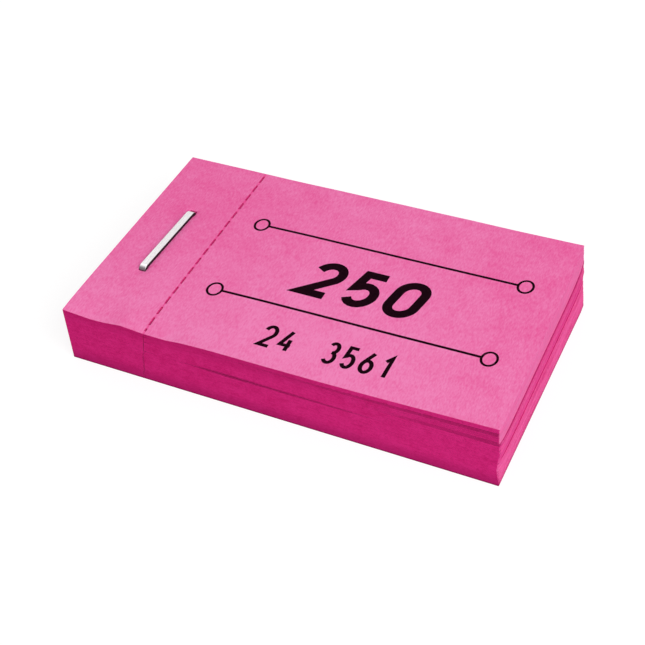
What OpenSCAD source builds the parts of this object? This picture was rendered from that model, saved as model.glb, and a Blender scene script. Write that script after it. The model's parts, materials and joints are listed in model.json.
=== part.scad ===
// Stapled pad of tear-off vouchers.
// Every sheet is a stub and a voucher joined by paper ties along a perforation. One wire staple
// holds all the stubs. X runs along the sheets with the stub at -X, Y across them, Z up.
// The origin is on the table, under the middle of the pad. All sizes are in millimetres.

/* [Sheet] */
// Length of a whole sheet, stub and voucher together
sheet_len = 60; // [45:0.5:90]
// Depth of a sheet, along the perforation
sheet_depth = 35; // [28:0.5:60]
// Thickness of the paper
paper_t = 0.087; // [0.06:0.001:0.2]
// Film of air between two sheets that are pressed together
sheet_air = 0.001; // [0.001:0.001:0.02]

/* [Perforation] */
// Length of the stub, from its bound edge to the perforation
stub_len = 12.2; // [9:0.1:20]
// Number of paper ties along the perforation
tie_count = 17; // [8:1:30]
// Width of one tie, along the perforation
tie_w = 0.55; // [0.3:0.05:0.8]
// Width of the slits, across the perforation
slit_w = 0.2; // [0.1:0.05:0.4]
// Gap along the fold line of a sheet that can be leafed
fold_gap = 0.02; // [0.01:0.01:0.05]

/* [Packs] */
// Sheets that stay flat at the bottom of the pad
base_count = 60; // [12:1:120]
// Sheets in the lower leafing pack
lower_count = 20; // [10:1:40]
// Sheets in the middle leafing pack
middle_count = 12; // [12:1:24]
// Sheets in the upper leafing pack
upper_count = 6; // [6:1:12]

/* [Gaps at the free end] */
// Height of the gap under the lower pack
lower_lift = 0.25; // [0.05:0.01:0.8]
// Height of the gap under the middle pack
middle_lift = 0.3; // [0.05:0.01:0.8]
// Height of the gap under the upper pack
upper_lift = 0.28; // [0.05:0.01:0.8]
// Height of the gap under the second voucher
second_lift = 0.12; // [0.02:0.01:0.4]
// Height of the gap under the top voucher
top_lift = 0.13; // [0.02:0.01:0.4]

/* [Staple] */
// Length of the crown, measured over both legs
crown_len = 13.4; // [10:0.1:18]
// Width of the flat wire, across the crown
wire_w = 1; // [0.6:0.05:1.4]
// Thickness of the flat wire
wire_t = 0.6; // [0.4:0.05:0.8]
// Inner radius of the wire's bends
bend_r = 0.2; // [0.2:0.05:0.8]
// Length of each clinched end, measured over its leg
clinch_len = 4; // [2:0.1:4.8]
// Slope of each clinched end's chisel tip
tip_slope = 0.5; // [0.1:0.05:0.8]
// Distance from the bound edge to the middle of the wire
staple_inset = 6.1; // [3:0.1:7]
// Distance from the middle of the depth to the middle of the crown
staple_shift = -0.3; // [-4:0.1:4]
// Clearance between the wire and the paper around it
wire_clear = 0.05; // [0.02:0.01:0.1]

/* [Hidden] */
$fn = 48;

// How far a cut runs past the face that it opens
over = 1;

// Colours of the paper and of the wire
paper_pink = [0.92, 0.4, 0.66];
wire_silver = [0.8, 0.81, 0.82];

// Where the sheets, the perforation and the staple lie
bound_x = -sheet_len / 2;
free_x = sheet_len / 2;
fold_x = bound_x + stub_len;
staple_x = bound_x + staple_inset;
voucher_len = sheet_len - stub_len;
slit_len = (sheet_depth - tie_count * tie_w) / (tie_count + 1);
tie_pitch = slit_len + tie_w;
outer_bend_r = bend_r + wire_t;

// First sheet of each pack, counted from the bottom of the pad
pitch = paper_t + sheet_air;
lower_first = base_count;
middle_first = lower_first + lower_count;
upper_first = middle_first + middle_count;
second_sheet = upper_first + upper_count;
top_sheet = second_sheet + 1;
sheet_count = top_sheet + 1;
stack_h = sheet_count * pitch;

// Rise of each pack's free end above a flat stack
lower_rise = lower_lift;
middle_rise = lower_rise + middle_lift;
upper_rise = middle_rise + upper_lift;
second_rise = upper_rise + second_lift;
top_rise = second_rise + top_lift;

// Nodes that each pack is shared out over
base_nodes = 12;
lower_stub_nodes = 4;
lower_nodes = 10;
middle_stub_nodes = 3;
middle_nodes = 12;
upper_stub_nodes = 2;
upper_nodes = 6;

// Names such as base_sheets_01, one for each node of a pack
function numbered(base, i) = str(base, "_", i < 9 ? "0" : "", i + 1);
function names(base, count) = [for (i = [0 : count - 1]) numbered(base, i)];

// First sheet of node i, when a pack of count sheets is shared out over a number of nodes
function share(count, nodes, i) = floor(count * i / nodes);

// Height of a sheet's underside where it is stapled
function sheet_z(sheet) = sheet * pitch;

// Slits of the perforation, seen from above; the first and last run out at the sheet's edges
module slits() {
    for (i = [0 : tie_count]) {
        from_y = i == 0 ? -sheet_depth / 2 - over : -sheet_depth / 2 + i * tie_pitch;
        to_y = i == tie_count ? sheet_depth / 2 + over : -sheet_depth / 2 + i * tie_pitch + slit_len;
        translate([fold_x - slit_w / 2, from_y])
            square([slit_w, to_y - from_y]);
    }
}

// How far a leg's hole reaches inwards from the crown's end, in a given sheet: over the whole
// clinched end at the bottom, over the bend just above it and under the crown, or over the leg
function hole_reach(sheet) =
    sheet_z(sheet) < wire_t ? clinch_len
    : sheet_z(sheet) < outer_bend_r || sheet_z(sheet + 1) > stack_h - bend_r ? outer_bend_r
    : wire_t;

// Both leg holes of one sheet, seen from above
module leg_holes(sheet) {
    reach = hole_reach(sheet) + 2 * wire_clear;
    width = wire_w + 2 * wire_clear;
    for (side = [-1, 1])
        translate([staple_x, staple_shift + side * (crown_len / 2 + wire_clear - reach / 2)])
            square([width, reach], center = true);
}

// A strip of paper over the full depth between two places along the sheet, seen from above
module strip(from_x, to_x) {
    translate([from_x, -sheet_depth / 2])
        square([to_x - from_x, sheet_depth]);
}

// One whole sheet, flat, with its perforation and its leg holes
module whole_sheet(sheet) {
    translate([0, 0, sheet_z(sheet)])
        linear_extrude(paper_t)
            difference() {
                strip(bound_x, free_x);
                slits();
                leg_holes(sheet);
            }
}

// The stub of a sheet that can be leafed, up to the fold line through its ties
module stub(sheet) {
    translate([0, 0, sheet_z(sheet)])
        linear_extrude(paper_t)
            difference() {
                strip(bound_x, fold_x - fold_gap / 2);
                slits();
                leg_holes(sheet);
            }
}

// The voucher of a sheet that can be leafed, tilted about the fold line by its free end's rise
module voucher(sheet, rise) {
    translate([fold_x, 0, sheet_z(sheet)])
        rotate([0, -asin(rise / voucher_len), 0])
            translate([-fold_x, 0, 0])
                linear_extrude(paper_t)
                    difference() {
                        strip(fold_x + fold_gap / 2, free_x);
                        slits();
                    }
}

// The whole sheets, stubs or vouchers that one node holds out of its pack
module sheets_of(first, count, nodes, i) {
    color(paper_pink)
        for (n = [share(count, nodes, i) : share(count, nodes, i + 1) - 1])
            whole_sheet(first + n);
}

module stubs_of(first, count, nodes, i) {
    color(paper_pink)
        for (n = [share(count, nodes, i) : share(count, nodes, i + 1) - 1])
            stub(first + n);
}

module vouchers_of(first, count, nodes, i, rise) {
    color(paper_pink)
        for (n = [share(count, nodes, i) : share(count, nodes, i + 1) - 1])
            voucher(first + n, rise);
}

module base_sheets(i) { sheets_of(0, base_count, base_nodes, i); }
module lower_stubs(i) { stubs_of(lower_first, lower_count, lower_stub_nodes, i); }
module middle_stubs(i) { stubs_of(middle_first, middle_count, middle_stub_nodes, i); }
module upper_stubs(i) { stubs_of(upper_first, upper_count, upper_stub_nodes, i); }
module second_stub() { stubs_of(second_sheet, 1, 1, 0); }
module top_stub() { stubs_of(top_sheet, 1, 1, 0); }
module lower_vouchers(i) { vouchers_of(lower_first, lower_count, lower_nodes, i, lower_rise); }
module middle_voucher(i) { vouchers_of(middle_first, middle_count, middle_nodes, i, middle_rise); }
module upper_voucher(i) { vouchers_of(upper_first, upper_count, upper_nodes, i, upper_rise); }
module second_voucher() { vouchers_of(second_sheet, 1, 1, 0, second_rise); }
module top_voucher() { vouchers_of(top_sheet, 1, 1, 0, top_rise); }

// A rectangle with round corners that stands on the given height, in the staple's plane
module round_frame(width, from_z, to_z, r) {
    translate([-width / 2 + r, from_z])
        square([width - 2 * r, to_z - from_z]);
    translate([-width / 2, from_z + r])
        square([width, to_z - from_z - 2 * r]);
    for (y = [-width / 2 + r, width / 2 - r], z = [from_z + r, to_z - r])
        translate([y, z])
            circle(r);
}

// The staple's side view: the bent wire, with the space between its two chisel tips cut out
module staple_outline() {
    tip_y = crown_len / 2 - clinch_len;
    tip_run = tip_slope * wire_t;
    difference() {
        round_frame(crown_len, 0, stack_h + wire_t, outer_bend_r);
        round_frame(crown_len - 2 * wire_t, wire_t, stack_h, bend_r);
        polygon([
            [-tip_y - tip_run, 0],
            [-tip_y - tip_run, -over],
            [tip_y + tip_run, -over],
            [tip_y + tip_run, 0],
            [tip_y, wire_t],
            [tip_y, wire_t + bend_r],
            [-tip_y, wire_t + bend_r],
            [-tip_y, wire_t]
        ]);
    }
}

module staple() {
    color(wire_silver)
        translate([staple_x, staple_shift, 0])
            rotate([90, 0, 90])
                linear_extrude(wire_w, center = true)
                    staple_outline();
}

staple();
for (i = [0 : base_nodes - 1])
    base_sheets(i);
for (i = [0 : lower_stub_nodes - 1])
    lower_stubs(i);
for (i = [0 : middle_stub_nodes - 1])
    middle_stubs(i);
for (i = [0 : upper_stub_nodes - 1])
    upper_stubs(i);
second_stub();
top_stub();
for (i = [0 : lower_nodes - 1])
    lower_vouchers(i);
for (i = [0 : middle_nodes - 1])
    middle_voucher(i);
for (i = [0 : upper_nodes - 1])
    upper_voucher(i);
second_voucher();
top_voucher();
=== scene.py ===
import json
import math
import random
from collections import namedtuple

import bpy
import numpy as np
from mathutils import Matrix, Vector


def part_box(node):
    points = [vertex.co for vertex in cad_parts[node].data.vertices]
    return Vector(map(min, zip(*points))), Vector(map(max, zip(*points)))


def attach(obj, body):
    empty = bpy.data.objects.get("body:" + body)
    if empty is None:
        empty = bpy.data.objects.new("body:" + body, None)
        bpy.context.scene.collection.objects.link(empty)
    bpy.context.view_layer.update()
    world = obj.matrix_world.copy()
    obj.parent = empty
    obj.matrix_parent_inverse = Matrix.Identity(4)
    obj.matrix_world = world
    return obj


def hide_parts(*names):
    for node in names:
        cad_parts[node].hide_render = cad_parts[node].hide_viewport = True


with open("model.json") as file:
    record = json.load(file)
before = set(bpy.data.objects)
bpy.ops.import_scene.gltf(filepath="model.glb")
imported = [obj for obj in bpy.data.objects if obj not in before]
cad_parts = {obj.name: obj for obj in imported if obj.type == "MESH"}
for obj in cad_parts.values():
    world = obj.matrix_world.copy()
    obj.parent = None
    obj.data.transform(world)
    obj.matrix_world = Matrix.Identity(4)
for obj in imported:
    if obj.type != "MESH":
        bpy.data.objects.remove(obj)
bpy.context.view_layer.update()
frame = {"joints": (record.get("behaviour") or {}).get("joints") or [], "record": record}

# Sizes below are millimetres in the frame of the pad. Meshes, lamps and the camera are made in metres.
MM = 0.001


def box_mm(node):
    """Lowest and highest corner of a CAD node, in millimetres."""
    return [np.round(np.array(corner) / MM, 4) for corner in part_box(node)]


# Places and sizes that the frame gives
SHEET_LOW, SHEET_HIGH = box_mm("base_sheets_01")
BOUND_X, FRONT_Y = SHEET_LOW[:2]
FREE_X, BACK_Y = SHEET_HIGH[:2]
FOLD_X, _, STACK_H = np.round(np.array(frame["joints"][0]["pos_m"]) / MM, 4)
STAPLE_LOW, STAPLE_HIGH = box_mm("staple")
STAPLE_X, STAPLE_Y = (STAPLE_LOW[:2] + STAPLE_HIGH[:2]) / 2
WIRE_W, CROWN_LEN = STAPLE_HIGH[:2] - STAPLE_LOW[:2]
WIRE_T = STAPLE_HIGH[2] - STACK_H
NODE_BODY = {
    node: body
    for body, nodes in frame["record"]["behaviour"]["bodies"].items()
    for node in nodes
}

# Sheets
SHEETS = 100
TOP_SHEET = SHEETS - 1
PITCH = STACK_H / SHEETS
PAPER_T = 0.087
FILM = 0.0005
VOUCHER_LEN = FREE_X - FOLD_X

# Perforation: its slits are pressed open in the sheets that lie on top of a pack. There, and in the
# sheets at the foot of the pad, they are pinched at the sheet's edges. It drifts towards the stub from
# the top sheet to the bottom one. The blade missed the front edge of the top sheet. The first tie is
# placed by its middle, from the front edge, and the last one meets the back edge.
TIE_COUNT = 17
TIE_PITCH = 2.09
TIE_W = 0.65
FIRST_TIE = 1.25
TIES = [FRONT_Y + FIRST_TIE + n * TIE_PITCH for n in range(TIE_COUNT)]
EDGE_TIE_W = 0.45
OPEN_SLIT_W = 0.32
SHUT_SLIT_W = 0.11
FOOT_SHEETS = 4
FRONT_PINCH = 0.95
FRONT_PINCH_LEN = 0.9
BACK_PINCH = 0.75
BACK_PINCH_LEN = 0.6
PINCH_REACH = 1.0
FOLD_GAP = 0.02
FOLD_SLANT = 0.005
SLANT_REACH = 6.0
DRIFT = 1.25

# Staple
BEND_R = 0.2
OUTER_BEND_R = BEND_R + WIRE_T
CLINCH_LEN = 4.0
WIRE_CLEAR = 0.05
CROWN_SINK = 0.15

# The staple stands askew. Paper turns with it along the crown, and less and less further away.
SKEW = math.tan(math.radians(1.9))
SKEW_W = 1.2
SKEW_W_FADE = 3.6
SKEW_END = 0.8
SKEW_END_FADE = 7.0

# The back leg has torn its hole open towards the back, in the uppermost sheets
TEAR = 0.28
TORN_SHEETS = 10

# Packs of sheets: node name, nodes it is numbered over, first sheet, sheets, part of the sheet
Pack = namedtuple("Pack", "name nodes first sheets part")
PACKS = (
    Pack("base_sheets", 12, 0, 60, "whole"),
    Pack("lower_stubs", 4, 60, 20, "stub"),
    Pack("lower_vouchers", 10, 60, 20, "voucher"),
    Pack("middle_stubs", 3, 80, 12, "stub"),
    Pack("middle_voucher", 12, 80, 12, "voucher"),
    Pack("upper_stubs", 2, 92, 6, "stub"),
    Pack("upper_voucher", 6, 92, 6, "voucher"),
    Pack("second_stub", 0, 98, 1, "stub"),
    Pack("second_voucher", 0, 98, 1, "voucher"),
    Pack("top_stub", 0, 99, 1, "stub"),
    Pack("top_voucher", 0, 99, 1, "voucher"),
)

# The sheets on top of the packs. For all but the two uppermost of them, the sheet below shows through
# the slits, and the sheet above is the lowest one of the next pack.
PACK_TOPS = tuple(pack.first + pack.sheets - 1 for pack in PACKS if pack.part != "stub")
SLIT_FLOORS = tuple(top - 1 for top in PACK_TOPS if top < TOP_SHEET - 1)
HINGED_BOTTOMS = tuple(top + 1 for top in PACK_TOPS if top < TOP_SHEET - 1)

# Room under the hinged edge of a pack, for the motion of the fold
HINGE_ROOM = 0.07
HINGE_ROOM_LEN = 0.9

# Air that opens between the sheets towards the free end: the sheets below and above it, its height
# at the end, and where it starts past the fold. Away from the front edge, more sheets may share it.
# The height sways a little across the pad.
Air = namedtuple("Air", "below above height start inner", defaults=(None,))
AIRS = (
    Air(0, 59, 0.07, 2),
    Air(60, 77, 0.05, 2),
    Air(77, 81, 0.32, 24),
    Air(82, 89, 0.15, 2),
    Air(89, 92, 0.42, 2, (81, 99)),
    Air(92, 99, 0.03, 2),
)
AIR_REACH = 1.2
SWAY = 0.15
SWAY_PERIOD = 46.0
SWAY_PHASE = 1.7

# A long flat bubble of air about one sheet: its height by place past the fold, how far it lifts the
# sheets above and presses the sheets below, the sheets that share its height on each side, and the
# sheets over which the lift and the sag fade
BUBBLE_SHEET = PACK_TOPS[0]
BUBBLE_SHAPE = (
    (3, 0), (5.5, 0.1), (8, 0.48), (10, 0.86), (12, 1), (14, 0.9), (16, 0.76), (20, 0.6),
    (24, 0.5), (28, 0.36), (31, 0.12), (34, 0),
)
BUBBLE_LIFT = 0.18
BUBBLE_SAG = 0.21
BUBBLE_SPREAD = 2
BUBBLE_LIFT_REACH = 60
BUBBLE_SAG_REACH = 18

# Setback of the sheets' free ends by share of the stack's height, at the front and at the back.
# Two steps stand out: the sheets below each step reach further out than those above. The last sheet
# below a step is a ledge, its free end painted dark as shade under the step.
FRONT_ENDS = (
    (0, -0.15), (0.1, -0.1), (0.3, -0.08), (0.441, -0.22), (0.449, -0.06),
    (0.6, -0.12), (0.791, -0.36), (0.799, -0.2), (0.9, -0.17), (1, -0.16),
)
BACK_ENDS = (
    (0, 0), (0.1, 0.06), (0.3, 0.18), (0.441, 0.24), (0.449, 0.4),
    (0.6, 0.33), (0.791, 0.19), (0.799, 0.35), (0.9, 0.47), (1, 0.58),
)
LEDGE_SHEETS = (44, 79)

# Wear of the two corners of the free end, by share of the stack's height, and how far each reaches:
# the back one further towards the top. The ledges run out where they meet a worn corner.
FRONT_WEAR = (
    (0, 0), (0.08, 0.08), (0.2, 0.24), (0.3, 0.3), (0.441, 0.34), (0.449, 0.2),
    (0.6, 0.1), (0.791, 0.36), (0.799, 0.2), (1, 0.2),
)
BACK_WEAR = (
    (0, 0.32), (0.3, 0.34), (0.441, 0.38), (0.449, 0.26),
    (0.6, 0.33), (0.791, 0.53), (0.799, 0.41), (1, 0.31),
)
FRONT_WEAR_REACH = 1.1
BACK_WEAR_REACHES = ((0, 0.5), (1, 3.0))

# How far the top sheet's back edge leans out, by place along the sheet, and how steeply this grows
BACK_LEAN = ((-30, 0.24), (-20, 0.36), (-9, 0.41), (4, 0.45), (14, 0.34), (21, 0.12), (28, 0))
LEAN_POWER = 3

# Random shifts of a sheet across the pad, at its free end and of its perforation deep in the stack.
# Sheets that were stacked together shift together at the free end.
JOG = 0.004
END_JOG = 0.006
CLUMP_JOG = 0.025
CLUMP_SHEETS = (3, 7)
FOLD_JOG = 0.08

# Droop of the upper sheets along the front edge, by place along the sheet
STUB_DROOP = ((-30, 0.2), (-28, 0.36), (-25.7, 0.5), (-23.7, 0.42), (-21.2, 0.08))
FOLD_DROOP = ((-17.9, 0.36), (-14.5, 0.36), (-12.4, 0.1), (-9, 0))
DROOP_R = 2.2
DROOP_REACH = 22

# Dents of the top stubs under the staple
TROUGH_DEPTH = 0.07
TROUGH_R = 0.9
LEG_DENT_DEPTH = 0.16
LEG_DENT_R = 0.75
DENT_REACH = 14

random.seed(7)
JOGS = [random.gauss(0, JOG) for _ in range(SHEETS)]
END_JOGS = []
while len(END_JOGS) < SHEETS:
    clump = random.gauss(0, CLUMP_JOG)
    END_JOGS += [clump + random.gauss(0, END_JOG) for _ in range(random.randint(*CLUMP_SHEETS))]
FOLD_JOGS = [random.gauss(0, FOLD_JOG) for _ in range(SHEETS)]


def smooth(t):
    """A share that eases in at nothing and out at one."""
    t = np.clip(t, 0, 1)
    return t * t * (3 - 2 * t)


def share_below(sheet, below, above):
    """Share of the air between two sheets that lies under a given sheet."""
    return min(max((sheet - below) / (above - below), 0), 1)


def air_height(sheet, x, y):
    """How far the air between the sheets below lifts a sheet."""
    total = 0 * x
    for n, air in enumerate(AIRS):
        share = share_below(sheet, air.below, air.above)
        if air.inner:
            inner = share_below(sheet, *air.inner)
            share = inner + (share - inner) * np.exp((FRONT_Y - y) / AIR_REACH)
        t = np.clip((x - FOLD_X - air.start) / (VOUCHER_LEN - air.start), 0, 1)
        sway = 1 + SWAY * np.sin(2 * math.pi * y / SWAY_PERIOD + SWAY_PHASE * n)
        total = total + share * air.height * sway * t * t * (2 - t)
    return total


def bubble(sheet, x):
    """How far the bubble lifts a sheet above it, or presses one below it down."""
    above = sheet - BUBBLE_SHEET
    if above > 0:
        share = BUBBLE_LIFT * min(1, above / BUBBLE_SPREAD) * max(0, 1 - above / BUBBLE_LIFT_REACH)
    else:
        share = -BUBBLE_SAG * min(1, (1 - above) / BUBBLE_SPREAD) * math.exp(above / BUBBLE_SAG_REACH)
    return share * np.interp(x - FOLD_X, *zip(*BUBBLE_SHAPE))


def staple_dent(x, y):
    """How far the staple presses the top sheet down."""
    along = np.abs(y - STAPLE_Y) - CROWN_LEN / 2
    across = x - STAPLE_X - SKEW * (y - STAPLE_Y)
    trough = np.exp(-((across / TROUGH_R) ** 2)) * smooth(-along / TROUGH_R + 0.5)
    legs = np.exp(-(across**2 + along**2) / LEG_DENT_R**2)
    return TROUGH_DEPTH * trough + LEG_DENT_DEPTH * legs


def front_droop(x, y):
    """How far the top sheet hangs down along its front edge."""
    places, depths = zip(*STUB_DROOP, *FOLD_DROOP)
    return np.interp(x, places, depths) * np.exp((FRONT_Y - y) / DROOP_R)


def pressed(sheet, x, y):
    """How far a sheet is pressed down, which fades away deeper in the stack."""
    depth = TOP_SHEET - sheet
    dent = math.exp(-depth / DENT_REACH) * staple_dent(x, y)
    return dent + math.exp(-depth / DROOP_REACH) * front_droop(x, y)


def hinge_room(sheet, x, y):
    """How far the underside of a pack is cut back next to its fold."""
    past_fold = x - fold_at(sheet) - fold_slant(y)
    return np.where(past_fold > 0, HINGE_ROOM * (1 - smooth(past_fold / HINGE_ROOM_LEN)), 0)


def underside(sheet, x, y):
    """Height of a sheet's underside."""
    lift = air_height(sheet, x, y) + bubble(sheet, x)
    if sheet in HINGED_BOTTOMS:
        lift = lift + hinge_room(sheet, x, y)
    return np.maximum(0, sheet * PITCH + lift - pressed(sheet, x, y))


def upper_side(sheet, x, y):
    """Height of a sheet's upper side, pressed thin where the next sheet is close."""
    z = underside(sheet, x, y) + PAPER_T
    if sheet < TOP_SHEET:
        z = np.minimum(z, underside(sheet + 1, x, y) - FILM)
    return z


def end_setback(sheet, y):
    """How far a sheet's free end lies behind the straight end of the pad."""
    front, back, front_wear, back_wear, back_reach = (
        np.interp(sheet / SHEETS, *zip(*profile))
        for profile in (FRONT_ENDS, BACK_ENDS, FRONT_WEAR, BACK_WEAR, BACK_WEAR_REACHES)
    )
    straight = front + (back - front) * (y - FRONT_Y) / (BACK_Y - FRONT_Y)
    front_wear = front_wear * np.exp((FRONT_Y - y) / FRONT_WEAR_REACH)
    back_wear = back_wear * np.exp((y - BACK_Y) / back_reach)
    return straight + front_wear + back_wear + END_JOGS[sheet]


def back_lean(sheet, x, y):
    """How far a sheet's back half is drawn out towards the back."""
    lean = np.interp(x, *zip(*BACK_LEAN)) * sheet / TOP_SHEET
    return lean * np.clip(y / BACK_Y, 0, 1) ** LEAN_POWER


def fold_at(sheet):
    """Place of a sheet's perforation along the sheet, at its front edge."""
    jog = FOLD_JOGS[sheet] if sheet < SLIT_FLOORS[0] else 0
    return FOLD_X - DRIFT * (TOP_SHEET - sheet) / TOP_SHEET + jog


def fold_slant(y):
    """How far the perforation lies from its place at the front edge."""
    return -FOLD_SLANT * (y - FRONT_Y)


def slit_width(sheet):
    return OPEN_SLIT_W if sheet in PACK_TOPS else SHUT_SLIT_W


def hole_reach(sheet):
    """How far a leg's hole reaches inwards from the end of the crown."""
    if sheet * PITCH < WIRE_T:
        return CLINCH_LEN
    if sheet * PITCH < OUTER_BEND_R or (sheet + 1) * PITCH > STACK_H - BEND_R:
        return OUTER_BEND_R
    return WIRE_T


SAME_LINE = 0.001


def levels(*groups):
    """Sorted places of grid lines, with lines that nearly coincide merged."""
    places = sorted(float(p) for group in groups for p in group)
    kept = places[:1]
    for place in places[1:]:
        if place - kept[-1] > SAME_LINE:
            kept.append(place)
    return np.array(kept)


def between(low, high, step):
    """Places from low to high about a step apart, both ends included."""
    return np.linspace(low, high, max(2, round((high - low) / step) + 1))


def hole_spans(sheet):
    """Where the two leg holes of a sheet start and end across the sheet."""
    outer = CROWN_LEN / 2 + WIRE_CLEAR
    inner = outer - hole_reach(sheet) - 2 * WIRE_CLEAR
    torn = TEAR if sheet > TOP_SHEET - TORN_SHEETS else 0
    return (STAPLE_Y - outer, STAPLE_Y - inner), (STAPLE_Y + inner, STAPLE_Y + outer + torn)


# Kinds of surface, in the order of the paper's materials
FACE, LONG_CUT, END_CUT, SLIT_CUT, TIE, RIM, LEDGE = range(7)
FIRST_FANNED = 80
RIM_W = 0.5
LEDGE_W = 0.3
LIT_END_STRIP_W = 0.1

# Steps of a sheet's grid, and how far its fine steps reach about the staple
STUB_STEP = 0.8
VOUCHER_STEP = 1.6
DENT_STEP = 0.2
DENT_W = 2.0
DENT_END = 1.6
DROOP_STEP = 0.4


def sheet_lines(sheet, part):
    """Grid lines along and across one sheet, close together where it shows or where it is dented."""
    fold, slit_w = fold_at(sheet), slit_width(sheet)
    ties = [min(tie + side, BACK_Y) for tie in TIES for side in (-TIE_W / 2, TIE_W / 2)]
    rims = [FRONT_Y, FRONT_Y + RIM_W, FRONT_Y + EDGE_TIE_W, FRONT_Y + FRONT_PINCH_LEN]
    across = [ties, rims, [BACK_Y - BACK_PINCH_LEN, BACK_Y]]
    along = []
    if sheet in SLIT_FLOORS:
        along += [[fold - OPEN_SLIT_W / 2] if part != "voucher" else [fold + OPEN_SLIT_W / 2]]
    if part != "voucher":
        across += hole_spans(sheet)
        hole_w = WIRE_W / 2 + WIRE_CLEAR
        along += [[STAPLE_X - hole_w, STAPLE_X + hole_w]]
        along += [between(BOUND_X, fold - slit_w / 2, STUB_STEP)]
        if sheet >= TOP_SHEET - 1:
            along += [between(STAPLE_X - DENT_W, STAPLE_X + DENT_W, DENT_STEP)]
            for end in (STAPLE_Y - CROWN_LEN / 2, STAPLE_Y + CROWN_LEN / 2):
                across += [between(end - DENT_END, end + DENT_END, DENT_STEP)]
            across += [between(FRONT_Y, FRONT_Y + 2 * DROOP_R, DROOP_STEP)]
    if part != "stub":
        step = STUB_STEP if sheet in PACK_TOPS else VOUCHER_STEP
        along += [between(fold + slit_w / 2, FREE_X, step), [FREE_X - LEDGE_W, FREE_X - LIT_END_STRIP_W]]
        if sheet >= TOP_SHEET - 1:
            across += [between(FRONT_Y, FRONT_Y + 2 * DROOP_R, DROOP_STEP)]
    if part == "stub":
        along += [[fold - FOLD_GAP / 2]]
    if part == "voucher":
        along += [[fold + FOLD_GAP / 2]]
    return levels(*along), levels(*across)


def kept_cells(sheet, along, across):
    """Which cells of a sheet's grid are paper, and not slit or hole."""
    x = ((along[1:] + along[:-1]) / 2)[:, None]
    y = ((across[1:] + across[:-1]) / 2)[None, :]
    in_slit = np.abs(y[..., None] - TIES).min(axis=-1) > TIE_W / 2
    if sheet == TOP_SHEET:
        in_slit &= y > FRONT_Y + EDGE_TIE_W
    cut = (np.abs(x - fold_at(sheet)) < slit_width(sheet) / 2) & in_slit
    for start, end in hole_spans(sheet):
        cut |= (np.abs(x - STAPLE_X) < WIRE_W / 2 + WIRE_CLEAR) & (y > start) & (y < end)
    return ~cut


def staple_skew(x, y):
    """How far paper around the staple is carried along by the staple's slant."""
    across = 1 - smooth((np.abs(x - STAPLE_X) - SKEW_W) / SKEW_W_FADE)
    along = 1 - smooth((np.abs(y - STAPLE_Y) - CROWN_LEN / 2 - SKEW_END) / SKEW_END_FADE)
    return SKEW * (y - STAPLE_Y) * across * along


def fold_shift(sheet, x, y):
    """How far paper near the perforation is carried along by its slant and by slits that close up."""
    past_fold = x - fold_at(sheet)
    shift = fold_slant(y) * (1 - smooth(np.abs(past_fold) / SLANT_REACH))
    if sheet in PACK_TOPS or sheet < FOOT_SHEETS:
        near = 1 - smooth((np.abs(past_fold) - slit_width(sheet) / 2) / PINCH_REACH)
        front = FRONT_PINCH * (1 - smooth((y - FRONT_Y) / FRONT_PINCH_LEN)) * (sheet < TOP_SHEET)
        back = BACK_PINCH * (1 - smooth((BACK_Y - y) / BACK_PINCH_LEN))
        shift -= past_fold * near * (front + back)
    return shift


def face_kinds(sheet, along, across):
    """Materials of a face's cells: creased ties, floors of slits in the darker slit colour as painted
    shade, a ledge at the free end painted dark as shade.

    Under the top sheet, the rim along the front takes painted shade from the gaps between the sheets,
    and the ends of fanned sheets take the lighter end colour as painted light.
    """
    kinds = np.full((len(along) - 1, len(across) - 1), FACE)
    x = (along[1:] + along[:-1]) / 2
    y = (across[1:] + across[:-1]) / 2
    if sheet < TOP_SHEET:
        # The rim behind the front edge takes painted shade from the gaps between the sheets.
        kinds[:, y < FRONT_Y + RIM_W] = RIM
        if sheet >= FIRST_FANNED:
            # A strip of the face at the free end takes the end material, as painted light.
            kinds[x > FREE_X - LIT_END_STRIP_W, :] = END_CUT
    if sheet in LEDGE_SHEETS:
        # The ledge's free end is painted dark, as shade under the step above it.
        kinds[x > FREE_X - LEDGE_W, :] = LEDGE
    if sheet in SLIT_FLOORS + PACK_TOPS:
        fold_cells = np.abs(x - fold_at(sheet)) < OPEN_SLIT_W / 2
        # Floors of slits take the darker slit colour, as painted shade in the slit; the ties on pack
        # tops take their own colour.
        kinds[fold_cells, :] = TIE if sheet in PACK_TOPS else SLIT_CUT
    return kinds


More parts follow.
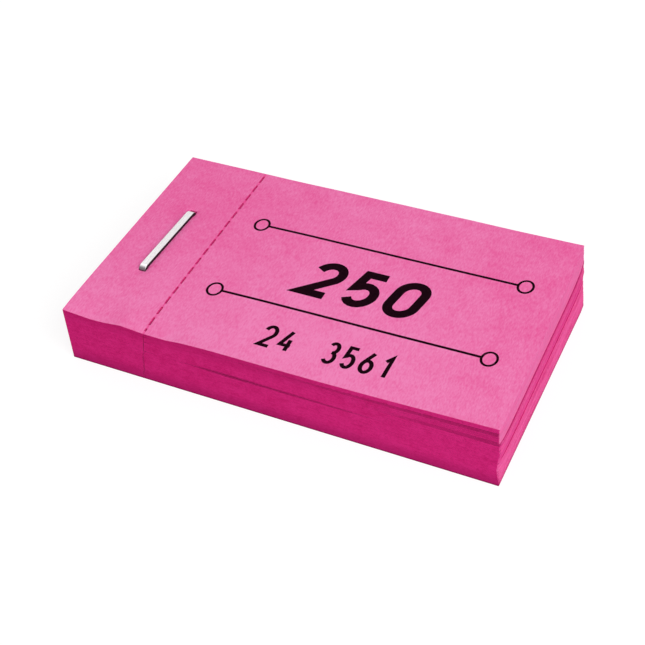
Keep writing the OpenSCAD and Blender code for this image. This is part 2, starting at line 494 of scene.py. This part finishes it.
def sheet_mesh(sheet, part):
    """Vertices, faces and the materials of the faces of one closed sheet of paper."""
    along, across = sheet_lines(sheet, part)
    keep = kept_cells(sheet, along, across)
    nx, ny = len(along), len(across)
    x, y = np.meshgrid(along, across, indexing="ij")
    stretch = np.clip((x - FOLD_X) / VOUCHER_LEN, 0, 1)
    placed_x = x - end_setback(sheet, y) * stretch + staple_skew(x, y) + fold_shift(sheet, x, y)
    placed_y = y + back_lean(sheet, x, y) + JOGS[sheet]
    used = np.zeros((nx, ny), bool)
    for i, j in ((0, 0), (1, 0), (0, 1), (1, 1)):
        used[i : nx - 1 + i, j : ny - 1 + j] |= keep
    number = np.cumsum(used).reshape(nx, ny) - 1
    count = int(used.sum())
    sides = [
        np.stack([placed_x[used], placed_y[used], side(sheet, placed_x, placed_y)[used]], axis=1)
        for side in (underside, upper_side)
    ]
    cell_kinds = face_kinds(sheet, along, across)
    faces, kinds = [], []

    def wall(a, b, kind):
        low_a, low_b = int(number[a]), int(number[b])
        faces.append((low_a, low_b, low_b + count, low_a + count))
        kinds.append(kind)

    for i, j in zip(*np.nonzero(keep)):
        corners = [(i, j), (i + 1, j), (i + 1, j + 1), (i, j + 1)]
        ring = [int(number[c]) for c in corners]
        faces += [tuple(reversed(ring)), tuple(n + count for n in ring)]
        kinds += [int(cell_kinds[i, j])] * 2
        if j == 0 or not keep[i, j - 1]:
            wall(corners[0], corners[1], LONG_CUT if j == 0 else SLIT_CUT)
        if i == nx - 2 or not keep[i + 1, j]:
            wall(corners[1], corners[2], END_CUT if i == nx - 2 and part != "stub" else SLIT_CUT)
        if j == ny - 2 or not keep[i, j + 1]:
            wall(corners[2], corners[3], LONG_CUT if j == ny - 2 else SLIT_CUT)
        if i == 0 or not keep[i - 1, j]:
            wall(corners[3], corners[0], LONG_CUT if i == 0 and part != "voucher" else SLIT_CUT)
    return np.concatenate(sides), faces, kinds


CREASE = math.radians(35)


def new_piece(name, vertices, faces, materials, kinds=None):
    """A mesh object from millimetres, smooth over its gentle bends and crisp along its edges."""
    mesh = bpy.data.meshes.new(name)
    mesh.from_pydata((np.asarray(vertices) * MM).tolist(), [], faces)
    for material in materials:
        mesh.materials.append(material)
    if kinds is not None:
        mesh.polygons.foreach_set("material_index", kinds)
    mesh.polygons.foreach_set("use_smooth", [True] * len(faces))
    mesh.set_sharp_from_angle(angle=CREASE)
    mesh.update()
    piece = bpy.data.objects.new(name, mesh)
    bpy.context.scene.collection.objects.link(piece)
    return piece


# Materials

Layer = namedtuple("Layer", "size weight stretch")


def new_material(name):
    material = bpy.data.materials.new(name)
    material.use_nodes = True
    tree = material.node_tree
    return material, tree, tree.nodes["Principled BSDF"]


def blotches(tree, layers):
    """A weighted sum of noises. Each layer has the size of its blotches, its weight and its stretch."""
    place = tree.nodes.new("ShaderNodeTexCoord").outputs["Object"]
    total = None
    for layer in layers:
        mapping = tree.nodes.new("ShaderNodeMapping")
        mapping.inputs["Scale"].default_value = [1 / (layer.size * MM * s) for s in layer.stretch]
        tree.links.new(place, mapping.inputs["Vector"])
        noise = tree.nodes.new("ShaderNodeTexNoise")
        noise.inputs["Scale"].default_value = 1
        noise.inputs["Detail"].default_value = 2
        tree.links.new(mapping.outputs["Vector"], noise.inputs["Vector"])
        add = tree.nodes.new("ShaderNodeMath")
        add.operation = "MULTIPLY_ADD"
        add.inputs[1].default_value = layer.weight
        add.inputs[2].default_value = 0
        tree.links.new(noise.outputs["Fac"], add.inputs[0])
        if total is not None:
            tree.links.new(total, add.inputs[2])
        total = add.outputs["Value"]
    return total


RAMP_SPAN = (0.38, 0.62)


def ramp(tree, factor, dark, light, span=RAMP_SPAN):
    """A colour that runs from dark to light as the factor goes through a span."""
    node = tree.nodes.new("ShaderNodeValToRGB")
    for element, place, colour in zip(node.color_ramp.elements, span, (dark, light)):
        element.position = place
        element.color = (*colour, 1)
    tree.links.new(factor, node.inputs["Fac"])
    return node.outputs["Color"]


def bump(tree, shader, factor, height):
    """A relief of the given height, in millimetres."""
    node = tree.nodes.new("ShaderNodeBump")
    node.inputs["Strength"].default_value = 1
    node.inputs["Distance"].default_value = height * MM
    tree.links.new(factor, node.inputs["Height"])
    tree.links.new(node.outputs["Normal"], shader.inputs["Normal"])


def axis_share(tree, axis, start, end, most=1.0, middle=None):
    """A share that grows from nothing at the start to the most at the end, along one axis.

    With a middle given, the start and end are distances from it, on both sides.
    """
    axes = tree.nodes.new("ShaderNodeSeparateXYZ")
    tree.links.new(tree.nodes.new("ShaderNodeTexCoord").outputs["Object"], axes.inputs["Vector"])
    place = axes.outputs[axis]
    if middle is not None:
        for operation in ("SUBTRACT", "ABSOLUTE"):
            node = tree.nodes.new("ShaderNodeMath")
            node.operation = operation
            node.inputs[1].default_value = middle * MM
            tree.links.new(place, node.inputs[0])
            place = node.outputs["Value"]
    share = tree.nodes.new("ShaderNodeMapRange")
    share.interpolation_type = "SMOOTHSTEP"
    share.inputs["From Min"].default_value = start * MM
    share.inputs["From Max"].default_value = end * MM
    share.inputs["To Max"].default_value = most
    tree.links.new(place, share.inputs["Value"])
    return share.outputs["Result"]


def mix_colours(tree, factor, first, second):
    """A colour between two others, of which the second is a plain colour."""
    node = tree.nodes.new("ShaderNodeMix")
    node.data_type = "RGBA"
    tree.links.new(factor, node.inputs["Factor"])
    tree.links.new(first, node.inputs["A"])
    node.inputs["B"].default_value = (*second, 1)
    return node.outputs["Result"]


def multiply(tree, first, second):
    node = tree.nodes.new("ShaderNodeMath")
    node.operation = "MULTIPLY"
    tree.links.new(first, node.inputs[0])
    tree.links.new(second, node.inputs[1])
    return node.outputs["Value"]


# A fade shifts a paper's colour and a tint covers it, both more and more along an axis
Fade = namedtuple("Fade", "axis start end most")
Tint = namedtuple("Tint", "axis start end most colour within", defaults=(None,))
Paper = namedtuple("Paper", "dark light span layers bump_layers bump_height specular")
PAPER_ROUGHNESS = 0.82


def paper_material(name, paper, fades=(), tints=()):
    """Uncoated dyed paper: a cloudy colour, a fibrous surface, and fading or soiling to some sides."""
    material, tree, shader = new_material(name)
    cloud = blotches(tree, paper.layers)
    for fade in fades:
        add = tree.nodes.new("ShaderNodeMath")
        tree.links.new(cloud, add.inputs[0])
        tree.links.new(axis_share(tree, *fade), add.inputs[1])
        cloud = add.outputs["Value"]
    colour = ramp(tree, cloud, paper.dark, paper.light, paper.span)
    for tint in tints:
        share = axis_share(tree, tint.axis, tint.start, tint.end, tint.most)
        if tint.within:
            share = multiply(tree, share, axis_share(tree, *tint.within))
        colour = mix_colours(tree, share, colour, tint.colour)
    tree.links.new(colour, shader.inputs["Base Color"])
    shader.inputs["Roughness"].default_value = PAPER_ROUGHNESS
    shader.inputs["Specular IOR Level"].default_value = paper.specular
    bump(tree, shader, blotches(tree, paper.bump_layers), paper.bump_height)
    return material


# How blotches are drawn out along the three axes
EVEN = (1, 1, 1)
STREAK = (14, 14, 1)
FIBRE = (1, 3, 1)

# Wire: its scratches and its bloom, and how far from the crown's ends the darkening of the bends starts
# and is full, which is scuffed zinc and painted shade
SCRATCHES = (Layer(0.03, 0.6, (1, 40, 1)), Layer(0.12, 0.4, (1, 8, 1)))
SCRATCH_DEPTH = 0.004
BLOOM = (Layer(0.5, 1, EVEN),)
BEND_DARK_LEN = 0.64
FULL_BEND_DARK_LEN = 0.12


def wire_material(name, dark, light, worn_and_shaded, roughness):
    """Drawn steel wire with fine scratches along the crown, a dull bloom, and bends darkened by scuffs
    and by painted shade.
    """
    material, tree, shader = new_material(name)
    scratches = blotches(tree, SCRATCHES)
    clean = ramp(tree, scratches, dark, light)
    half = CROWN_LEN / 2
    # The bends are darker: scuffed zinc, and painted shade on their highlight.
    bend = axis_share(tree, "Y", half - BEND_DARK_LEN, half - FULL_BEND_DARK_LEN, middle=STAPLE_Y)
    tree.links.new(mix_colours(tree, bend, clean, worn_and_shaded), shader.inputs["Base Color"])
    low, high = roughness
    bloom = ramp(tree, blotches(tree, BLOOM), (low,) * 3, (high,) * 3)
    tree.links.new(bloom, shader.inputs["Roughness"])
    shader.inputs["Metallic"].default_value = 1
    bump(tree, shader, scratches, SCRATCH_DEPTH)
    return material


INK_DENSITY = (Layer(0.25, 0.5, EVEN), Layer(0.06, 0.5, EVEN))
INK_COLOURS = ((0.004, 0.0005, 0.002), (0.014, 0.002, 0.006))
INK_ROUGHNESS = 0.6
INK_SPECULAR = 0.01
INK_RELIEF = 0.003


def ink_material():
    """Black offset ink, a little uneven in density and duller than the paper's highlights."""
    material, tree, shader = new_material("black_ink")
    density = blotches(tree, INK_DENSITY)
    tree.links.new(ramp(tree, density, *INK_COLOURS), shader.inputs["Base Color"])
    shader.inputs["Roughness"].default_value = INK_ROUGHNESS
    shader.inputs["Specular IOR Level"].default_value = INK_SPECULAR
    bump(tree, shader, density, INK_RELIEF)
    return material


FACE_COLOURS = (Layer(4.5, 0.26, EVEN), Layer(1.0, 0.17, EVEN), Layer(0.18, 0.57, FIBRE))
FACE_BUMPS = (Layer(0.25, 0.5, FIBRE), Layer(0.08, 0.5, EVEN))
LONG_COLOURS = (Layer(0.10, 0.35, STREAK), Layer(0.26, 0.4, EVEN), Layer(1.4, 0.25, EVEN))
END_COLOURS = (Layer(0.6, 0.5, STREAK), Layer(0.15, 0.25, STREAK), Layer(0.3, 0.25, EVEN))
CUT_BUMPS = (Layer(0.10, 0.5, STREAK), Layer(0.2, 0.5, EVEN))
FACE_SPAN = (0.36, 0.72)
FACE_RELIEF = 0.06
FACE_SPECULAR = 0.2
CUT_SPAN = RAMP_SPAN
CUT_RELIEF = 0.014
CUT_SPECULAR = 0.05


def face_paper(dark, light):
    return Paper(dark, light, FACE_SPAN, FACE_COLOURS, FACE_BUMPS, FACE_RELIEF, FACE_SPECULAR)


def cut_paper(dark, light, colours=LONG_COLOURS):
    return Paper(dark, light, CUT_SPAN, colours, CUT_BUMPS, CUT_RELIEF, CUT_SPECULAR)


PINK_FACE = face_paper((0.784, 0.087, 0.303), (0.856, 0.222, 0.472))
TIE_FACE = face_paper((0.80, 0.046, 0.240), (0.86, 0.150, 0.410))
# Ledge colour: painted shade under the steps of the free end
LEDGE_SHADE_FACE = face_paper((0.50, 0.015, 0.145), (0.66, 0.038, 0.220))
# The long cuts: the deeper pink of a cut edge, darker than the end cut as painted shade on the long
# sides
LONG_CUT_SHADED_PAPER = cut_paper((0.79, 0.014, 0.200), (0.98, 0.032, 0.295))
END_CUT_PAPER = cut_paper((0.76, 0.032, 0.220), (1.00, 0.150, 0.460), END_COLOURS)
# A lighter copy of the end cut, as painted light on the ends of the upper sheets
END_PAINTED_LIGHT_PAPER = cut_paper((0.91, 0.176, 0.450), (0.94, 0.215, 0.500), END_COLOURS)
SLIT_PAPER = cut_paper((0.70, 0.036, 0.235), (0.88, 0.069, 0.322))
# Painted light on the faces: a painted sheen lightens them towards the front edge, and they are lighter
# across the middle of the pad than at its two ends.
FACE_PAINTED_LIGHT = (
    Fade("Y", BACK_Y - 6, FRONT_Y, 0.1),
    Fade("X", -22, 2, 0.07),
    Fade("X", 8, FREE_X, -0.08),
)
# The long cuts are lighter towards the free end
LIGHTER_TO_FREE_END = (Fade("X", FOLD_X, FREE_X, 0.05),)
# Painted shade in the gaps between the sheets, on the rim of each face behind the front edge
PAINTED_GAP_SHADE_RIM = Tint("Y", FRONT_Y + RIM_W, FRONT_Y + 0.6 * RIM_W, 1, (0.42, 0.009, 0.118))
# Painted shade on the long cuts, darker towards the floor
PAINTED_FLOOR_SHADE = Tint("Z", 2.6, 0.2, 0.5, (0.42, 0.008, 0.130))
# Painted contact shade, a dark line along the foot of the long cuts
PAINTED_CONTACT_SHADE = Tint("Z", 0.35, 0.1, 0.6, (0.25, 0.006, 0.080))
# Painted shade below the top edge of the front, on the part towards the stub
PAINTED_SHADE_UNDER_TOP = Tint("Z", 6.4, 8.2, 0.35, (0.56, 0.008, 0.140), ("X", 14, -2))
# Painted shade at the foot of the free end, towards the floor
PAINTED_END_FLOOR_SHADE = Tint("Z", 0.7, 0.1, 0.8, (0.52, 0.016, 0.150))
# Painted shade on the free end above its lower step
PAINTED_END_STEP_SHADE = Tint("Z", 3.2, 4.4, 0.6, (0.82, 0.048, 0.290))
PAPER = [
    paper_material("paper_face", PINK_FACE, FACE_PAINTED_LIGHT),
    paper_material("paper_long_cut", LONG_CUT_SHADED_PAPER, LIGHTER_TO_FREE_END, (PAINTED_FLOOR_SHADE, PAINTED_CONTACT_SHADE, PAINTED_SHADE_UNDER_TOP)),
    paper_material("paper_end_cut", END_CUT_PAPER, (), (PAINTED_END_FLOOR_SHADE, PAINTED_END_STEP_SHADE)),
    paper_material("paper_slit_cut", SLIT_PAPER),
    paper_material("paper_tie", TIE_FACE, FACE_PAINTED_LIGHT),
    paper_material("paper_rim", PINK_FACE, FACE_PAINTED_LIGHT, (PAINTED_GAP_SHADE_RIM,)),
    paper_material("paper_ledge", LEDGE_SHADE_FACE),
]
END_PAINTED_LIGHT = paper_material("paper_fanned_end", END_PAINTED_LIGHT_PAPER)
WIRE_FACE = wire_material(
    "staple_wire",
    dark=(0.70, 0.68, 0.69),
    light=(0.90, 0.87, 0.88),
    worn_and_shaded=(0.17, 0.15, 0.16),
    roughness=(0.22, 0.36),
)
# The wire's two sides: a near-black copy of the wire, as painted shade in place of the dark that they
# reflect
WIRE_EDGE_SHADE = wire_material(
    "staple_wire_edge",
    dark=(0.030, 0.022, 0.025),
    light=(0.060, 0.045, 0.050),
    worn_and_shaded=(0.05, 0.04, 0.045),
    roughness=(0.4, 0.6),
)
INK = ink_material()


# Sheets of paper, one piece for each node

def pack_nodes(pack):
    """Each node of a pack, with the sheets that it holds."""
    if not pack.nodes:
        return [(pack.name, [pack.first])]
    each = pack.sheets // pack.nodes
    return [
        (f"{pack.name}_{n + 1:02d}", [pack.first + n * each + k for k in range(each)])
        for n in range(pack.nodes)
    ]


def build_sheets(node, sheets, part):
    """One piece from all sheets of a node."""
    vertices, faces, kinds = [], [], []
    start = 0
    for sheet in sheets:
        more_vertices, more_faces, more_kinds = sheet_mesh(sheet, part)
        vertices.append(more_vertices)
        faces += [tuple(v + start for v in face) for face in more_faces]
        kinds += more_kinds
        start += len(more_vertices)
    materials = list(PAPER)
    if sheets[0] >= FIRST_FANNED:
        # The upper sheets' ends take a lighter copy of the end material, as painted light.
        materials[END_CUT] = END_PAINTED_LIGHT
    piece = new_piece(f"paper_{node}", np.concatenate(vertices), faces, materials, kinds)
    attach(piece, NODE_BODY[node])
    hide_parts(node)


SHEET_NODE = {}
for pack in PACKS:
    for node, sheets in pack_nodes(pack):
        build_sheets(node, sheets, pack.part)
        if pack.part != "stub":
            SHEET_NODE.update({sheet: node for sheet in sheets})


# Print, as thin ink that follows the sheet under it. Rules are placed by the middles of their rings.
# Boxes are left, front, right and back.

INK_SINK = 0.002
INK_T = 0.007
INK_STEP = 0.8
MITRE_LIMIT = 0.35
RING_RX = 0.98
RING_RY = 1.18
RING_STROKE = 0.33
RING_POINTS = 56
RULE_STROKE = 0.39
RULE_BOW = 0.18
RULES = (((-13.28, 7.29), (24.65, 7.12)), ((-13.08, -6.87), (24.84, -6.87)))
VALUE = "250"
VALUE_BOX = (-3.2, -3.8, 14.2, 3.4)
VALUE_STROKE = 1.3
VALUE_SLANT = 0.18
SERIES = "24"
FIRST_NUMBER = 3561
SERIES_BOX = (-3.4, -14.4, 1.2, -10.4)
NUMBER_BOX = (5.4, -14.4, 14.6, -10.4)
NUMBER_STROKE = 0.54
DIGIT_GAP = 0.3


def arc(cx, cy, rx, ry, start, end, points=18):
    """Points on an ellipse from one angle to another, in degrees."""
    angles = np.radians(np.linspace(start, end, points))
    return [(cx + rx * math.cos(a), cy + ry * math.sin(a)) for a in angles]


def digit_lines(digit):
    """Centrelines of a digit's strokes in a box one wide and one high, with whether each is closed."""
    bowl = 0.29
    if digit == "0":
        return [(arc(0.5, 1 - bowl, 0.5, bowl, 0, 180) + arc(0.5, bowl, 0.5, bowl, 180, 360), True)]
    if digit == "1":
        return [([(0.2, 0.76), (0.66, 1), (0.66, 0)], False)]
    if digit == "2":
        return [(arc(0.5, 1 - bowl, 0.48, bowl, 165, -35) + [(0.02, 0), (1, 0)], False)]
    if digit == "3":
        upper = arc(0.48, 0.755, 0.42, 0.245, 150, -90)
        return [(upper, False), (arc(0.48, 0.27, 0.48, 0.27, 90, -150), False)]
    if digit == "4":
        return [([(0.6, 1), (0.04, 0.27), (1, 0.27)], False), ([(0.76, 0.58), (0.76, 0)], False)]
    if digit == "5":
        return [([(0.92, 1), (0.14, 1), (0.08, 0.52)] + arc(0.5, 0.31, 0.48, 0.31, 130, -150), False)]
    if digit == "6":
        return [(arc(0.5, bowl, 0.5, bowl, 0, 360, 36)[:-1], True), ([(0.72, 1), (0.06, 0.44)], False)]
    if digit == "7":
        return [([(0.02, 1), (1, 1), (0.34, 0)], False)]
    if digit == "8":
        upper = arc(0.5, 0.765, 0.42, 0.235, 0, 360, 36)[:-1]
        return [(upper, True), (arc(0.5, 0.265, 0.5, 0.265, 0, 360, 36)[:-1], True)]
    return [([(1 - x, 1 - y) for x, y in line], closed) for line, closed in digit_lines("6")]


class Print:
    """Ink on one sheet, gathered as closed ribbons."""

    def __init__(self, sheet):
        self.sheet = sheet
        self.vertices = []
        self.faces = []

    def ribbon(self, line, width, closed=False):
        """A flat stroke along a line, with mitred corners."""
        points = np.array(line, float)
        steps = np.roll(points, -1, axis=0) - points
        steps /= np.linalg.norm(steps, axis=1)[:, None]
        before = np.roll(steps, 1, axis=0)
        if not closed:
            before[0] = steps[0]
            steps[-1] = before[-1]
        mitre = before + steps
        mitre /= np.linalg.norm(mitre, axis=1)[:, None]
        mitre /= np.maximum((mitre * steps).sum(axis=1), MITRE_LIMIT)[:, None]
        normal = np.stack([-mitre[:, 1], mitre[:, 0]], axis=1)
        self.slab(points + normal * width / 2, points - normal * width / 2, closed)

    def slab(self, left, right, closed):
        """Closed ink between two lines of points that run side by side."""
        n = len(left)
        start = sum(len(v) for v in self.vertices)
        for lift in (-INK_SINK, INK_T):
            for side in (left, right):
                z = upper_side(self.sheet, side[:, 0], side[:, 1]) + lift
                self.vertices.append(np.column_stack([side, z]))
        low_l, low_r, top_l, top_r = (start + k * n for k in range(4))
        for a in range(n if closed else n - 1):
            b = (a + 1) % n
            self.faces += [
                (top_l + a, top_r + a, top_r + b, top_l + b),
                (low_l + a, low_l + b, low_r + b, low_r + a),
                (low_l + a, top_l + a, top_l + b, low_l + b),
                (low_r + a, low_r + b, top_r + b, top_r + a),
            ]
        if not closed:
            last = n - 1
            self.faces += [
                (low_l, low_r, top_r, top_l),
                (low_l + last, top_l + last, top_r + last, low_r + last),
            ]

    def rule(self, start, end):
        """A thin rule between two rings, bowed a little towards the back."""
        for x, y in (start, end):
            ring = arc(x, y, RING_RX, RING_RY, 0, 360, RING_POINTS + 1)[:-1]
            self.ribbon(ring, RING_STROKE, closed=True)
        x = between(start[0] + RING_RX, end[0] - RING_RX, INK_STEP)
        t = (x - start[0]) / (end[0] - start[0])
        y = start[1] + (end[1] - start[1]) * t + RULE_BOW * 4 * t * (1 - t)
        self.ribbon(np.column_stack([x, y]), RULE_STROKE)

    def digits(self, text, box, stroke, slant=0.0):
        """A row of digits that fills a box from its lower left to its upper right corner."""
        x0, y0, x1, y1 = box
        high = y1 - y0 - stroke
        lean = slant * high
        gap = DIGIT_GAP * (y1 - y0) / 2
        wide = (x1 - x0 - lean - gap * (len(text) - 1)) / len(text) - stroke
        for n, digit in enumerate(text):
            left = x0 + stroke / 2 + n * (wide + stroke + gap)
            for line, closed in digit_lines(digit):
                placed = [
                    (left + u * wide + v * lean, y0 + stroke / 2 + v * high) for u, v in line
                ]
                self.ribbon(placed, stroke, closed)

    def build(self, name, body):
        piece = new_piece(name, np.concatenate(self.vertices), self.faces, [INK])
        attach(piece, body)


for sheet in PACK_TOPS:
    sheet_print = Print(sheet)
    for rule in RULES:
        sheet_print.rule(*rule)
    sheet_print.digits(VALUE, VALUE_BOX, VALUE_STROKE, VALUE_SLANT)
    sheet_print.digits(SERIES, SERIES_BOX, NUMBER_STROKE)
    sheet_print.digits(str(FIRST_NUMBER + TOP_SHEET - sheet), NUMBER_BOX, NUMBER_STROKE)
    sheet_print.build(f"print_{SHEET_NODE[sheet]}", NODE_BODY[SHEET_NODE[sheet]])


# Staple, as flat wire swept along its bends

SECTION_POINTS = 40
SECTION_POWER = 11.0
EDGE_SHARE = 0.985
BEND_POINTS = 10
LEG_STEP = 1.0
TIP_LEN = 0.6
TIP_SHARE = 0.35


def staple_path():
    """Centreline of the wire across the pad and up: clinched end, leg, crown, leg, clinched end."""
    side = CROWN_LEN / 2 - WIRE_T / 2
    low = WIRE_T / 2
    high = STACK_H + WIRE_T / 2 - CROWN_SINK
    r = BEND_R + WIRE_T / 2
    tip = CROWN_LEN / 2 - CLINCH_LEN
    half = [(tip, low), (tip + TIP_LEN / 2, low), (tip + TIP_LEN, low)]
    half += arc(side - r, low + r, r, r, -90, 0, BEND_POINTS)
    half += [(side, z) for z in between(low + r, high - r, LEG_STEP)[1:-1]]
    half += arc(side - r, high - r, r, r, 0, 90, BEND_POINTS)
    return half + [(-y, z) for y, z in reversed(half)]


def wire_section():
    """Outline of the flat wire with round edges: across the pad's length, and through the wire."""
    angles = np.arange(SECTION_POINTS) * 2 * math.pi / SECTION_POINTS
    power = 2 / SECTION_POWER
    width = np.sign(np.cos(angles)) * np.abs(np.cos(angles)) ** power * WIRE_W / 2
    depth = np.sign(np.sin(angles)) * np.abs(np.sin(angles)) ** power * WIRE_T / 2
    return width, depth


def build_staple():
    """The wire as rings of its section along its path, thinner towards its chisel tips."""
    path = np.array(staple_path())
    heading = np.gradient(path, axis=0)
    heading /= np.linalg.norm(heading, axis=1)[:, None]
    width, depth = wire_section()
    last = len(path) - 1
    rings = []
    for n, ((y, z), (along_y, along_z)) in enumerate(zip(path, heading)):
        thin = {0: TIP_SHARE, 1: (1 + TIP_SHARE) / 2}.get(min(n, last - n), 1.0)
        inward = depth * thin - (1 - thin) * WIRE_T / 2
        placed_y = y - along_z * inward
        ring = np.column_stack([
            STAPLE_X + width + SKEW * placed_y,
            STAPLE_Y + placed_y,
            z + along_y * inward,
        ])
        rings.append(ring)
    faces, kinds = [], []
    for n in range(last):
        a, b = n * SECTION_POINTS, (n + 1) * SECTION_POINTS
        for k in range(SECTION_POINTS):
            m = (k + 1) % SECTION_POINTS
            faces.append((a + k, b + k, b + m, a + m))
            # Faces along the wire's two sides take the near-black edge material, as painted shade.
            kinds.append(int(abs(width[k] + width[m]) > EDGE_SHARE * WIRE_W))
    faces.append(tuple(range(SECTION_POINTS)))
    faces.append(tuple(last * SECTION_POINTS + k for k in reversed(range(SECTION_POINTS))))
    kinds += [0, 0]
    piece = new_piece("wire_staple", np.concatenate(rings), faces, [WIRE_FACE, WIRE_EDGE_SHADE], kinds)
    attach(piece, NODE_BODY["staple"])
    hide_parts("staple")


build_staple()


# Floor, light and camera

FLOOR_SIZE = 3.0
FLOOR_DROP = 0.02
FLOOR_GREY = 0.22
FLOOR_GLOW = (0.82, 0.96)
FLOOR_REACH = (0.12, 0.4)
AMBIENT = 0.5


def seen_rays(tree):
    """One for rays that show the background itself: from the camera, or by gloss or glass."""
    path = tree.nodes.new("ShaderNodeLightPath")
    total = path.outputs["Is Camera Ray"]
    for kind in ("Is Glossy Ray", "Is Transmission Ray"):
        most = tree.nodes.new("ShaderNodeMath")
        most.operation = "MAXIMUM"
        tree.links.new(total, most.inputs[0])
        tree.links.new(path.outputs[kind], most.inputs[1])
        total = most.outputs["Value"]
    return total


def build_floor():
    """A pale floor that shows white with the pad's shadow, and glows more where the lamps fall short."""
    material = bpy.data.materials.new("floor")
    material.use_nodes = True
    tree = material.node_tree
    tree.nodes.remove(tree.nodes["Principled BSDF"])
    diffuse = tree.nodes.new("ShaderNodeBsdfDiffuse")
    diffuse.inputs["Color"].default_value = (FLOOR_GREY, FLOOR_GREY, FLOOR_GREY, 1)
    away = tree.nodes.new("ShaderNodeVectorMath")
    away.operation = "LENGTH"
    tree.links.new(tree.nodes.new("ShaderNodeTexCoord").outputs["Object"], away.inputs[0])
    level = tree.nodes.new("ShaderNodeMapRange")
    level.inputs["From Min"].default_value, level.inputs["From Max"].default_value = FLOOR_REACH
    level.inputs["To Min"].default_value, level.inputs["To Max"].default_value = FLOOR_GLOW
    tree.links.new(away.outputs["Value"], level.inputs["Value"])
    glow = tree.nodes.new("ShaderNodeEmission")
    seen_level = multiply(tree, seen_rays(tree), level.outputs["Result"])
    tree.links.new(seen_level, glow.inputs["Strength"])
    both = tree.nodes.new("ShaderNodeAddShader")
    tree.links.new(diffuse.outputs["BSDF"], both.inputs[0])
    tree.links.new(glow.outputs["Emission"], both.inputs[1])
    tree.links.new(both.outputs["Shader"], tree.nodes["Material Output"].inputs["Surface"])
    half = FLOOR_SIZE / 2 / MM
    corners = [(-half, -half), (half, -half), (half, half), (-half, half)]
    floor = new_piece("floor", [(x, y, -FLOOR_DROP) for x, y in corners], [(0, 1, 2, 3)], [material])


def build_world():
    """Even light from all round, behind a white background."""
    world = bpy.data.worlds.new("studio")
    bpy.context.scene.world = world
    world.use_nodes = True
    tree = world.node_tree
    light = tree.nodes["Background"]
    light.inputs["Color"].default_value = (1, 1, 1, 1)
    light.inputs["Strength"].default_value = AMBIENT
    white = tree.nodes.new("ShaderNodeBackground")
    white.inputs["Color"].default_value = (1, 1, 1, 1)
    white.inputs["Strength"].default_value = 1
    mix = tree.nodes.new("ShaderNodeMixShader")
    tree.links.new(seen_rays(tree), mix.inputs["Fac"])
    tree.links.new(light.outputs["Background"], mix.inputs[1])
    tree.links.new(white.outputs["Background"], mix.inputs[2])
    tree.links.new(mix.outputs["Shader"], tree.nodes["World Output"].inputs["Surface"])


def area_lamp(name, place, size, level):
    """A square soft lamp aimed at the pad. A white card that faces it there shows the level."""
    data = bpy.data.lights.new(name, "AREA")
    data.size = size
    place = Vector(place)
    data.energy = level * math.pi**2 * place.length_squared
    lamp = bpy.data.objects.new(name, data)
    lamp.location = place
    lamp.rotation_euler = (-place).to_track_quat("-Z", "Y").to_euler()
    bpy.context.scene.collection.objects.link(lamp)


def build_camera():
    """The photograph's view: place and aim in millimetres, and a small roll."""
    place = Vector((63.715, -121.512, 128.382)) * MM
    aim = Vector((-1.686, 0.839, 0.0)) * MM
    roll = math.radians(-4.57)
    data = bpy.data.cameras.new("camera")
    data.lens = 77.67
    data.sensor_width = 36
    data.clip_start = 0.01
    data.clip_end = 10
    camera = bpy.data.objects.new("camera", data)
    turn = (aim - place).to_track_quat("-Z", "Y").to_matrix() @ Matrix.Rotation(roll, 3, "Z")
    camera.matrix_world = Matrix.Translation(place) @ turn.to_4x4()
    bpy.context.scene.collection.objects.link(camera)
    bpy.context.scene.camera = camera


build_floor()
build_world()
area_lamp("key", place=(0.36, -0.22, 0.38), size=0.34, level=0.66)
area_lamp("overhead", place=(-0.16, 0.02, 0.42), size=0.4, level=0.12)
area_lamp("end", place=(0.5, 0.0, 0.12), size=0.3, level=0.1)
build_camera()
bpy.context.scene.view_settings.view_transform = "Standard"
